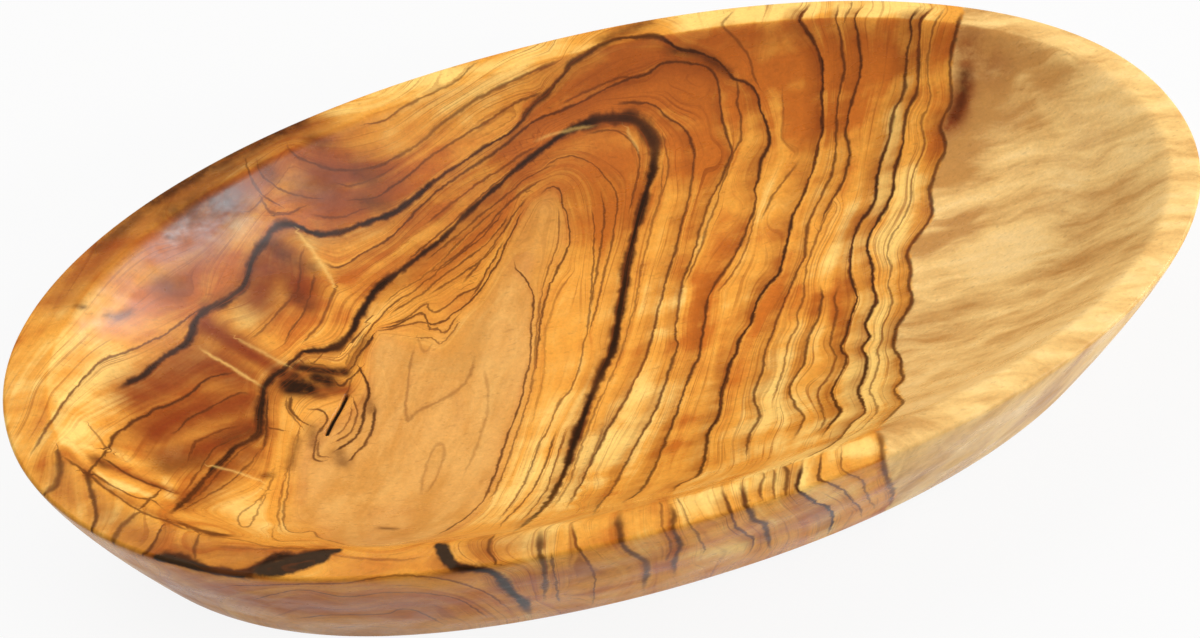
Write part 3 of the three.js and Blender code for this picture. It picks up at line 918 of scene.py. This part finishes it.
# Pale yellow wood in the hollow: at the left end and between the dark lines
pale_strokes = (
    (((40, 420), (70, 425)), 7, 0.7),
    (((32, 385), (62, 350)), 5, 0.5),
    (((85, 325), (105, 298)), 4, 0.5),
    (((110, 365), (65, 400)), 5, 0.85),
    (((72, 446), (84, 458)), 1.3, 0.8),
    (((112, 449), (134, 463)), 1.7, 1),
    (((97, 472), (106, 478)), 1, 1),
    (((116, 484), (148, 495)), 1.4, 1),
    (((166, 480), (172, 498)), 1.6, 1),
    (((240, 310), (262, 345)), 4, 0.6),
    (((235, 223), (252, 214)), 1.6, 0.8),
    (((247, 200), (263, 206)), 1.5, 0.8),
    (((325, 290), (350, 305)), 3, 0.5),
    (((300, 235), (320, 262), (345, 300)), 2, 0.7),
    (((390, 118), (470, 88), (540, 68)), 4, 0.5),
    (((465, 120), (400, 150)), 4, 0.4),
    (((590, 440), (560, 500)), 5, 0.8),
    (((650, 400), (615, 460)), 6, 0.9),
    (((810, 330), (770, 420), (740, 470)), 9, 0.4),
    (((760, 478), (800, 458), (840, 440)), 5, 1),
    (((880, 320), (860, 400), (840, 430)), 7, 1),
    (((850, 210), (838, 260)), 3, 0.8),
    (((680, 290), (668, 330)), 3, 0.8),
    (((612, 430), (590, 480)), 4, 1),
    (((895, 120), (880, 210)), 5, 0.6),
    (((915, 160), (895, 250)), 4, 0.9),
    (((535, 470), (500, 520)), 6, 0.5),
    (((230, 500), (270, 530)), 7, 0.6),
    (((690, 556), (745, 546)), 4, 1),
)
# The rim is pale along the far side and in places in front: partly its own paler wood, partly a painted
# highlight on its top.
rim_pale_and_highlight_strokes = (
    (((340, 112), (386, 98), (460, 73), (530, 54), (595, 38)), 5, 0.6),
    (((690, 22), (740, 15), (805, 10), (865, 9), (923, 11)), 5, 1),
    (((690, 505), (735, 492)), 3, 0.8),
    (((765, 482), (790, 475)), 3, 0.8),
    (((855, 452), (868, 448)), 3, 1),
)
# The pale mark is paler wood, and on the rim top partly a painted highlight.
keep_on_mesh("pale", np.maximum(brushed(pale_strokes) * off_rim, brushed(rim_pale_and_highlight_strokes) * on_rim))

# Black wood with crisp edges: stains across the rim and the slit beside the knot
slit = ((347, 396), (341, 408), (334, 420), (327, 434))
stain_strokes = (
    (slit, 0.42, 1),
    (((155, 558), (180, 562), (200, 568), (225, 573), (245, 575)), 0.9, 1),
    (((258, 571), (285, 565), (310, 558)), 1.5, 1),
    (((262, 572), (286, 569), (303, 564), (322, 557)), 1.5, 1),
    (((310, 556), (338, 550)), 0.8, 0.9),
    (((440, 546), (451, 564)), 1.3, 1),
)
keep_on_mesh("stain", brushed(stain_strokes))

# Brown and black figure that the growth lines leave out: the knot, dark masses beside it, and dark marks
# on the walls and the rim
figure_strokes = (
    (((290, 386), (308, 387)), 2.3, 1.4),
    (((316, 378), (328, 381)), 2.2, 1),
    (((296, 367), (322, 371), (345, 372)), 1.3, 0.95),
    (((278, 373), (296, 376)), 1.4, 0.85),
    (((300, 396), (324, 396)), 0.9, 0.5),
    (((366, 338), (357, 354), (349, 368)), 1.1, 0.4),
    (((312, 428), (313, 444)), 1.4, 0.35),
    (((339, 454), (343, 463)), 1.6, 0.4),
    (((367, 402), (371, 410)), 1.3, 0.4),
    (((297, 440), (289, 468)), 1.1, 0.35),
    (((265, 476), (270, 475)), 0.8, 0.7),
    (((382, 528), (394, 529)), 0.8, 0.6),
    (((672, 50), (700, 54), (728, 72)), 1, 0.6),
    (((150, 204), (200, 174), (255, 144), (300, 123)), 2, 0.75),
    (((98, 248), (150, 204)), 1.4, 0.5),
    (((604, 40), (626, 31), (648, 22)), 1.6, 0.5),
    (((95, 459), (104, 465)), 1.2, 0.55),
    (((205, 305), (240, 288), (255, 258)), 1.6, 0.35),
    (((165, 468), (200, 462)), 2.4, 0.35),
    (((420, 265), (480, 225), (540, 190), (590, 205)), 10, 0.09),
    (((195, 350), (250, 300), (285, 265)), 7, 0.09),
    (((225, 441), (250, 432)), 2, 0.4),
    (((130, 312), (118, 318), (108, 316)), 0.9, 0.55),
    (((76, 304), (84, 307)), 0.5, 0.6),
    (((166, 232), (172, 240)), 0.7, 0.5),
    (((190, 185), (235, 165)), 2.2, 0.4),
    (((185, 181), (206, 171)), 2.2, 0.5),
    (((228, 160), (252, 149)), 2.2, 0.55),
    (((118, 233), (140, 214)), 1.4, 0.5),
    (((180, 215), (206, 204), (226, 200)), 4.5, 0.55),
    (((965, 74), (963, 96), (955, 116)), 1.3, 0.6),
    (((311, 139), (323, 143)), 1.7, 0.4),
    (((357, 172), (371, 178)), 1.9, 0.35),
    (((362, 201), (384, 206)), 1.6, 0.4),
    (((298, 192), (330, 188)), 3, 0.28),
    (((262, 165), (273, 177)), 1.7, 0.38),
    (((161, 284), (179, 290)), 2.2, 0.35),
    (((273, 245), (287, 257)), 1.9, 0.45),
    (((299, 261), (313, 269)), 1.5, 0.4),
    (((294, 295), (310, 306)), 1.5, 0.4),
)
keep_on_mesh("figure", brushed(figure_strokes))

# The slit is a drying check, a millimetre wide and a little deeper.
slit_half_width = 0.5 * mm
slit_depth = 1.2 * mm
near, distance = stroke_distance(slit, slit_half_width)
inside = np.clip(1 - (distance / slit_half_width) ** 2, 0, 1)
mesh_points[near] -= mesh_normals[near] * (inside * slit_depth)[:, None]
bowl_mesh.vertices.foreach_set("co", mesh_points.astype(np.float32).ravel())
bowl_mesh.update()


def srgb(red, green, blue):
    """A colour named by its eight-bit screen values, as the linear colour a shader needs."""
    screen = np.array([red, green, blue]) / 255
    linear = np.where(screen <= 0.04045, screen / 12.92, ((screen + 0.055) / 1.055) ** 2.4)
    return (*linear.tolist(), 1.0)


heart_tan = srgb(218, 165, 93)
heart_shade = srgb(196, 138, 68)
straw = srgb(252, 208, 116)
gold = srgb(232, 160, 62)
amber = srgb(196, 108, 32)
russet_red = srgb(134, 56, 17)
sapwood = srgb(240, 198, 124)
sap_cream = srgb(250, 216, 150)
sap_shade = srgb(188, 132, 66)
chestnut = srgb(140, 66, 16)
brown = srgb(106, 52, 18)
umber = srgb(44, 25, 10)
near_black = srgb(60, 43, 28)

olive_wood.use_nodes = True
olive_wood.node_tree.nodes.clear()
wood = Nodes(olive_wood.node_tree)
add = wood.add
math = wood.math
place = add("ShaderNodeTexCoord", {}).outputs["Object"]


def stored(name):
    """A number kept on the bowl's points."""
    return add("ShaderNodeAttribute", {}, attribute_name=name).outputs["Fac"]


def stretched(x, y, z):
    """The place on the bowl, with each axis multiplied."""
    return add("ShaderNodeVectorMath", {0: place, 1: (x, y, z)}, operation="MULTIPLY").outputs[0]


def noise(where, scale, detail, roughness=0.5, along=None):
    """Soft noise over the bowl, or over the bowl and a fourth number."""
    inputs = {"Vector": where, "Scale": scale, "Detail": detail, "Roughness": roughness}
    if along is None:
        return add("ShaderNodeTexNoise", inputs).outputs["Fac"]
    inputs["W"] = along
    return add("ShaderNodeTexNoise", inputs, noise_dimensions="4D").outputs["Fac"]


def drawn_out(where, turn, per_metre, detail, roughness):
    """Noise along a turned direction, with a number of lumps to the metre along, across and up."""
    inputs = {"Vector": where, "Rotation": Vector((0.0, 0.0, turn))}
    inputs["Scale"] = [1 / count for count in per_metre]
    turned = add("ShaderNodeMapping", inputs, vector_type="TEXTURE").outputs[0]
    return noise(turned, 1.0, detail, roughness)


def ramp(value, low, high, start=0.0, end=1.0):
    """A smooth rise from start to end while the value goes from low to high."""
    inputs = {"Value": value, "From Min": low, "From Max": high, "To Min": start, "To Max": end}
    return add("ShaderNodeMapRange", inputs, interpolation_type="SMOOTHSTEP").outputs["Result"]


def mixed(share, first, second):
    """Two colours mixed."""
    return add("ShaderNodeMix", {"Factor": share, 6: first, 7: second}, data_type="RGBA").outputs[2]


def times(first, second):
    """Two numbers multiplied."""
    return math("MULTIPLY", first, second)


def scaled(colour, factor):
    """A colour or a step in space, multiplied by one number."""
    return add("ShaderNodeVectorMath", {0: colour, "Scale": factor}, operation="SCALE").outputs[0]


def centred(value):
    """A noise value, moved to lie evenly about nothing."""
    return math("SUBTRACT", value, 0.5)


years = stored("years")
# The russet and deep marks are partly painted shade, and the pale mark is partly a painted highlight on the
# rim.
russet = stored("russet")
deep = stored("deep")
pale = stored("pale")
stain = stored("stain")
figure = stored("figure")

# The lines stray a little from their course, by parts of a millimetre.
wander = times(centred(noise(place, 280.0, 2.0, 0.6)), 0.9)
tremble = times(centred(noise(place, 900.0, 2.0, 0.6)), 0.5)
stray = math("ADD", wander, tremble)
heart_edge_years = (14.5, 8.5)
sap_edge_years = (48.7, 49.2)
heart = ramp(years, *heart_edge_years)
sap = ramp(math("ADD", years, stray), *sap_edge_years)

# Soft blobs of lighter and darker wood: bands that follow the growth lines, and a curly figure across them
band = noise(place, 16.0, 1.0, 0.5, times(years, 0.028))
curl = noise(stretched(75, 170, 120), 1.0, 3.0, 0.5)
fibre = noise(place, 45.0, 3.0, 0.65, times(years, 0.05))
calm = math("MAXIMUM", times(heart, 0.7), times(ramp(years, 26.0, 16.0), 0.5))
tone = math("MULTIPLY_ADD", centred(band), 0.7, 0.5)
tone = math("MULTIPLY_ADD", times(centred(curl), math("SUBTRACT", 1.0, calm)), 0.8, tone)
tone = math("MULTIPLY_ADD", centred(fibre), 0.45, tone)
# The pale mark lifts the tone and the deep mark lowers it: partly painted highlight on the rim, partly
# painted shade.
tone = math("MULTIPLY_ADD", math("SUBTRACT", pale, deep), 0.32, tone)
colour = mixed(ramp(tone, 0.2, 0.55), amber, gold)
colour = mixed(ramp(tone, 0.5, 0.85), colour, straw)
heart_turn = radians(-35)
grain = drawn_out(place, heart_turn, (170, 34, 100), 5.0, 0.65)
heart_colour = mixed(ramp(grain, 0.36, 0.66), heart_tan, heart_shade)
colour = mixed(times(heart, 0.8), colour, heart_colour)
# Red-brown where the russet mark lies, which is partly painted shade.
colour = mixed(times(russet, ramp(tone, 0.35, 0.75, 1.0, 0.8)), colour, russet_red)

# The sapwood is pale, with ripples and darker streaks.
sap_turn = radians(-20)
eddy_reach = 14 * mm
eddy = add("ShaderNodeTexNoise", {"Vector": place, "Scale": 70.0, "Detail": 1.0}).outputs["Color"]
eddied = add("ShaderNodeVectorMath", {0: place, 1: scaled(eddy, eddy_reach)}).outputs[0]
ripple = drawn_out(eddied, sap_turn, (50, 260, 40), 4.0, 0.62)
streak = drawn_out(place, sap_turn, (36, 130, 30), 4.0, 0.6)
streak = math("MULTIPLY_ADD", centred(ripple), 0.7, streak)
# The deep and russet marks, partly painted shade at the sapwood's top, darken the sapwood there.
streak = math("MULTIPLY_ADD", deep, 0.35, streak)
sap_colour = mixed(times(ramp(streak, 0.38, 0.8), 0.9), sapwood, sap_shade)
sap_colour = mixed(times(ramp(streak, 0.5, 0.25), 0.6), sap_colour, sap_cream)
blotch = times(russet, ramp(noise(place, 170.0, 4.0, 0.7), 0.32, 0.58, 0.3, 1.0))
sap_colour = mixed(blotch, sap_colour, russet_red)
colour = mixed(sap, colour, sap_colour)

# Growth lines: dark at the line, with a shade on the heart's side that ends sharply at it
darkness = 0.0
shade = 0.0
swelling = ramp(noise(place, 220.0, 3.0, 0.6), 0.3, 0.7, 0.6, 1.4)
for set_number in range(set_count):
    gap = math("ADD", stored(f"gap_{set_number}"), stray)
    core = math("DIVIDE", math("ABSOLUTE", gap), times(stored(f"width_{set_number}"), swelling))
    core = math("POWER", core, 3.0)
    line = times(math("EXPONENT", times(core, -1.0)), stored(f"ink_{set_number}"))
    darkness = math("MAXIMUM", darkness, line)
    depth = stored(f"shade_{set_number}")
    reach = math("MAXIMUM", times(depth, shade_reach / mm), 0.01)
    halo = math("MAXIMUM", math("SUBTRACT", 1.0, math("DIVIDE", math("ABSOLUTE", gap), reach)), 0.0)
    halo = times(halo, ramp(gap, -0.3, 0.1))
    shade = math("MAXIMUM", shade, times(halo, depth))
shade = times(shade, ramp(curl, 0.65, 0.35, 0.5, 1.0))
darkness = times(darkness, ramp(noise(place, 55.0, 2.0), 0.3, 0.55, 0.75, 1.0))
figure = times(figure, ramp(noise(place, 420.0, 3.0, 0.65), 0.3, 0.6, 0.65, 1.0))
darkness = math("MAXIMUM", darkness, figure)
colour = mixed(shade, colour, chestnut)
colour = mixed(math("POWER", darkness, 0.7), colour, brown)
colour = mixed(math("POWER", darkness, 1.6), colour, umber)
ragged = times(centred(noise(place, 260.0, 4.0, 0.7)), 0.9)
colour = mixed(ramp(math("ADD", stain, ragged), 0.28, 0.75), colour, near_black)

# Fine strands of brown between the lines follow the years, and thin out in the heart and the sapwood.
strand = noise(place, 24.0, 3.0, 0.7, times(years, 0.16))
strand = times(ramp(strand, 0.54, 0.68), ramp(noise(place, 34.0, 2.0), 0.35, 0.6, 0.25, 1.0))
hair = noise(place, 14.0, 1.0, 0.5, times(years, 0.3))
hair = times(ramp(hair, 0.58, 0.66), ramp(noise(place, 60.0, 2.0), 0.4, 0.6, 0.1, 0.6))
strand = math("MAXIMUM", strand, hair)
strand = times(strand, times(ramp(years, 9.0, 14.0, 0.1, 0.65), math("SUBTRACT", 1.0, sap)))
colour = mixed(strand, colour, chestnut)
# Painted highlight: the wood is pale along the glints on the scratches that the gouge and the sanding left.
gleam = math("DIVIDE", math("ABSOLUTE", math("ADD", stored("gap_glint"), stray)), stored("width_glint"))
gleam = times(math("EXPONENT", times(math("POWER", gleam, 2.0), -1.0)), stored("ink_glint"))
colour = mixed(gleam, colour, straw)

# Sanded wood is speckled, and has short dark pores.
speckle = centred(noise(place, 1500.0, 2.0, 0.7))
speckle = math("MULTIPLY_ADD", centred(noise(place, 500.0, 2.0, 0.6)), 0.6, speckle)
colour = scaled(colour, math("MULTIPLY_ADD", speckle, 0.35, 1.0))
fleck = ramp(noise(stretched(500, 1400, 900), 1.0, 2.0), 0.6, 0.75)
colour = mixed(times(fleck, 0.2), colour, brown)

# The polish is uneven in the hollow, and weak on the outer wall.
polish = noise(stretched(60, 120, 120), 1.0, 4.0, 0.65)
gloss = ramp(polish, 0.3, 0.7, 0.4, 0.24)
sheen = ramp(polish, 0.3, 0.7, 0.22, 0.6)
sheen = times(sheen, ramp(stored("outside"), 0.1, 0.5, 1.0, 0.2))
finish = {"Base Color": colour, "Roughness": gloss, "Specular IOR Level": sheen}
shader = add("ShaderNodeBsdfPrincipled", finish)
add("ShaderNodeOutputMaterial", {"Surface": shader.outputs[0]})

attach(bowl, "root")
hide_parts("bowl")


# The table
# A plain pale board, wide enough to fill the view. It lies a hair below the foot, so that the two
# surfaces never coincide.
table_mesh = bpy.data.meshes.new("table")
table_reach = 12.0
table_top = -0.05 * mm
table_grey = (0.6, 0.6, 0.6, 1.0)
table_glow = 0.9
white = (1.0, 1.0, 1.0, 1.0)
corners = [(-table_reach, -table_reach, table_top), (table_reach, -table_reach, table_top)]
corners += [(table_reach, table_reach, table_top), (-table_reach, table_reach, table_top)]
table_mesh.from_pydata(corners, [], [(0, 1, 2, 3)])
table = bpy.data.objects.new("table", table_mesh)
scene.collection.objects.link(table)
table_white = bpy.data.materials.new("table_white")
table_white.use_nodes = True
table_white.node_tree.nodes.clear()
board = Nodes(table_white.node_tree)
ray = board.add("ShaderNodeLightPath", {}).outputs
seen = board.math("MAXIMUM", ray["Is Camera Ray"], ray["Is Glossy Ray"])
seen = board.math("MAXIMUM", seen, ray["Is Transmission Ray"])
matt = board.add("ShaderNodeBsdfDiffuse", {"Color": table_grey}).outputs[0]
bright = board.add("ShaderNodeEmission", {"Color": white, "Strength": 1.0}).outputs[0]
share = board.math("MULTIPLY", seen, table_glow)
blend = board.add("ShaderNodeMixShader", {0: share, 1: matt, 2: bright}).outputs[0]
board.add("ShaderNodeOutputMaterial", {"Surface": blend})
table_mesh.materials.append(table_white)


# The light
# A soft box on the right, a cool one in front whose gleam lies on the left wall of the hollow, a warm one
# beside it, a sheet overhead, and a bright room all round that is dimmer in the polish than on the wood.
room_on_wood = 0.34
room_in_polish = 0.06
room = bpy.data.worlds.new("room")
scene.world = room
room.use_nodes = True
room.node_tree.nodes.clear()
sky = Nodes(room.node_tree)
glossy = sky.add("ShaderNodeLightPath", {}).outputs["Is Glossy Ray"]
strength = sky.math("MULTIPLY_ADD", glossy, room_in_polish - room_on_wood, room_on_wood)
walls = sky.add("ShaderNodeBackground", {"Color": white, "Strength": strength}).outputs[0]
sky.add("ShaderNodeOutputWorld", {"Surface": walls})

lamp_distance = 1.2


def soft_box(name, turn, rise, size, tint, power):
    """A lamp that shines on the bowl from a turn counted from the right end and a rise above the table."""
    lamp = bpy.data.lights.new(name, "AREA")
    lamp.shape = "RECTANGLE"
    lamp.size, lamp.size_y = size
    lamp.color = tint
    lamp.energy = power
    outward = Vector((cos(turn) * cos(rise), sin(turn) * cos(rise), sin(rise)))
    holder = bpy.data.objects.new(name, lamp)
    holder.location = outward * lamp_distance
    holder.rotation_euler = outward.to_track_quat("Z", "Y").to_euler()
    scene.collection.objects.link(holder)
    return holder


soft_box("right_box", radians(-4), radians(34), (0.42, 0.26), (1.0, 0.96, 0.96), 6.5)
front_gleam = soft_box("front_gleam", radians(-37), radians(31), (0.26, 0.22), (0.6, 0.9, 1.0), 8.5)
front_gleam.visible_diffuse = False
front_fill = soft_box("front_fill", radians(-44), radians(31), (0.36, 0.22), (1.0, 0.95, 0.86), 5.4)
front_fill.visible_glossy = False
overhead = soft_box("overhead_sheet", radians(115), radians(56), (0.9, 0.9), (1.0, 1.0, 1.0), 9.0)
overhead.visible_glossy = False

scene.view_settings.view_transform = "Standard"
